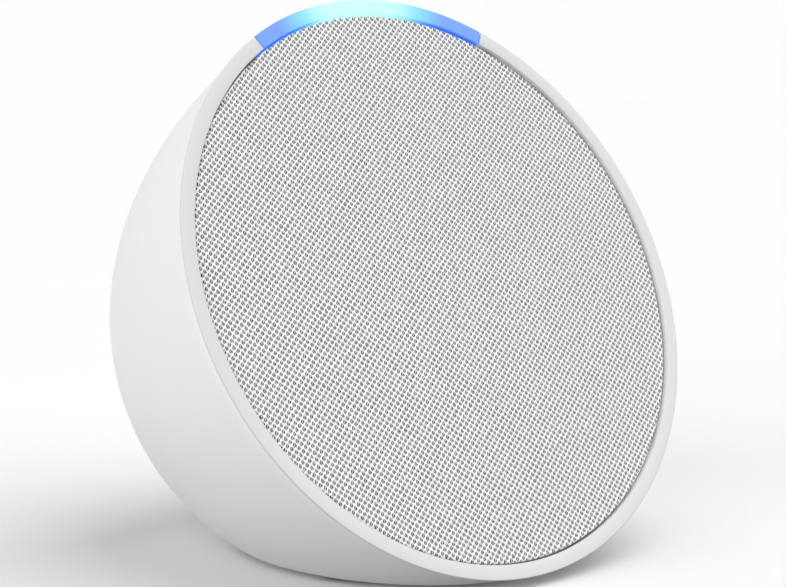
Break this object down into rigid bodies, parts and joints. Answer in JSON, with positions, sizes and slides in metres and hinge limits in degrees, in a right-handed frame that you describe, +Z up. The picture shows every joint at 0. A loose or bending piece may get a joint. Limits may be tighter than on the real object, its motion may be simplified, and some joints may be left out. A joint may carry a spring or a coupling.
{
  "type": "smart speaker",
  "caption": "Small domed smart speaker: a leaning round fabric face in a thin rim with a lit bar at the top, buttons on the dome, a flat foot and a power inlet behind.",
  "frame": {"origin": "on the table under the middle of the speaker: bottom centre of its box", "axes": "+Z up, the face looks towards -Y and leans back, +X is to the right of someone facing it from the front"},
  "size_m": [0.099, 0.0829, 0.0909],
  "materials": {
    "shell_white": "fine matt texture",
    "rim_white": "smooth satin",
    "diffuser": "translucent, lit from behind",
    "face_fabric": "open white knit over a dark grille",
    "foot_rubber": "matt",
    "inner_plastic": "matt moulded",
    "cone_paper": "pressed paper",
    "surround_rubber": "matt",
    "spider_cloth": "resin dipped cloth",
    "gasket_foam": "soft foam",
    "coil_copper": "enamelled copper wire",
    "plated_steel": "zinc plated",
    "ferrite": "sintered",
    "board_green": "solder mask",
    "chip_black": "moulded resin",
    "chip_white": "resin",
    "wire_red": "vinyl sleeve",
    "wire_black": "vinyl sleeve",
    "ribbon_tan": "polyimide film"
  },
  "bodies": {
    "housing": {"rear_housing": "shell_white", "front_bezel": "rim_white", "light_bar": "diffuser", "fabric_cover": "face_fabric", "grille_frame": "inner_plastic", "foot_pad": "foot_rubber", "driver_baffle": "inner_plastic", "driver_basket": "inner_plastic", "surround": "surround_rubber", "spider": "spider_cloth", "driver_gasket": "gasket_foam", "microphone_left_gasket": "gasket_foam", "microphone_right_gasket": "gasket_foam", "top_plate": "plated_steel", "yoke": "plated_steel", "microphone_left": "plated_steel", "microphone_right": "plated_steel", "shield_can": "plated_steel", "power_jack_pin": "plated_steel", "driver_screw_1": "plated_steel", "driver_screw_2": "plated_steel", "driver_screw_3": "plated_steel", "driver_screw_4": "plated_steel", "baffle_screw_1": "plated_steel", "baffle_screw_2": "plated_steel", "baffle_screw_3": "plated_steel", "board_screw_1": "plated_steel", "board_screw_2": "plated_steel", "board_screw_3": "plated_steel", "control_screw_1": "plated_steel", "control_screw_2": "plated_steel", "magnet": "ferrite", "control_board": "board_green", "light_board": "board_green", "main_board": "board_green", "jack_board": "board_green", "volume_down_switch": "chip_black", "volume_up_switch": "chip_black", "microphone_off_switch": "chip_black", "terminal_tab": "chip_black", "ribbon_socket": "chip_black", "power_jack": "chip_black", "led_1": "chip_white", "led_2": "chip_white", "led_3": "chip_white", "led_4": "chip_white", "speaker_lead_red": "wire_red", "power_lead_red": "wire_red", "speaker_lead_black": "wire_black", "power_lead_black": "wire_black", "button_ribbon": "ribbon_tan"},
    "volume_down": {"volume_down_button": "shell_white", "volume_down_plunger": "chip_white"},
    "volume_up": {"volume_up_button": "shell_white", "volume_up_plunger": "chip_white"},
    "microphone_off": {"microphone_off_button": "shell_white", "microphone_off_plunger": "chip_white"},
    "cone_assembly": {"cone": "cone_paper", "dust_cap": "cone_paper", "voice_coil": "coil_copper"}
  },
  "joints": [
    {"name": "volume_down_press", "type": "slide", "parent": "housing", "child": "volume_down", "axis": [0, -0.5867, -0.8098], "range_m": [0, 0.0005], "stiffness_N_per_m": 2500},
    {"name": "volume_up_press", "type": "slide", "parent": "housing", "child": "volume_up", "axis": [0, -0.5867, -0.8098], "range_m": [0, 0.0005], "stiffness_N_per_m": 2500},
    {"name": "microphone_off_press", "type": "slide", "parent": "housing", "child": "microphone_off", "axis": [0, -0.5867, -0.8098], "range_m": [0, 0.0005], "stiffness_N_per_m": 2500},
    {"name": "cone_travel", "type": "slide", "parent": "housing", "child": "cone_assembly", "axis": [0, -0.8999, 0.4362], "range_m": [-0.0015, 0.0015], "stiffness_N_per_m": 600, "deforming": ["surround", "spider"]}
  ]
}
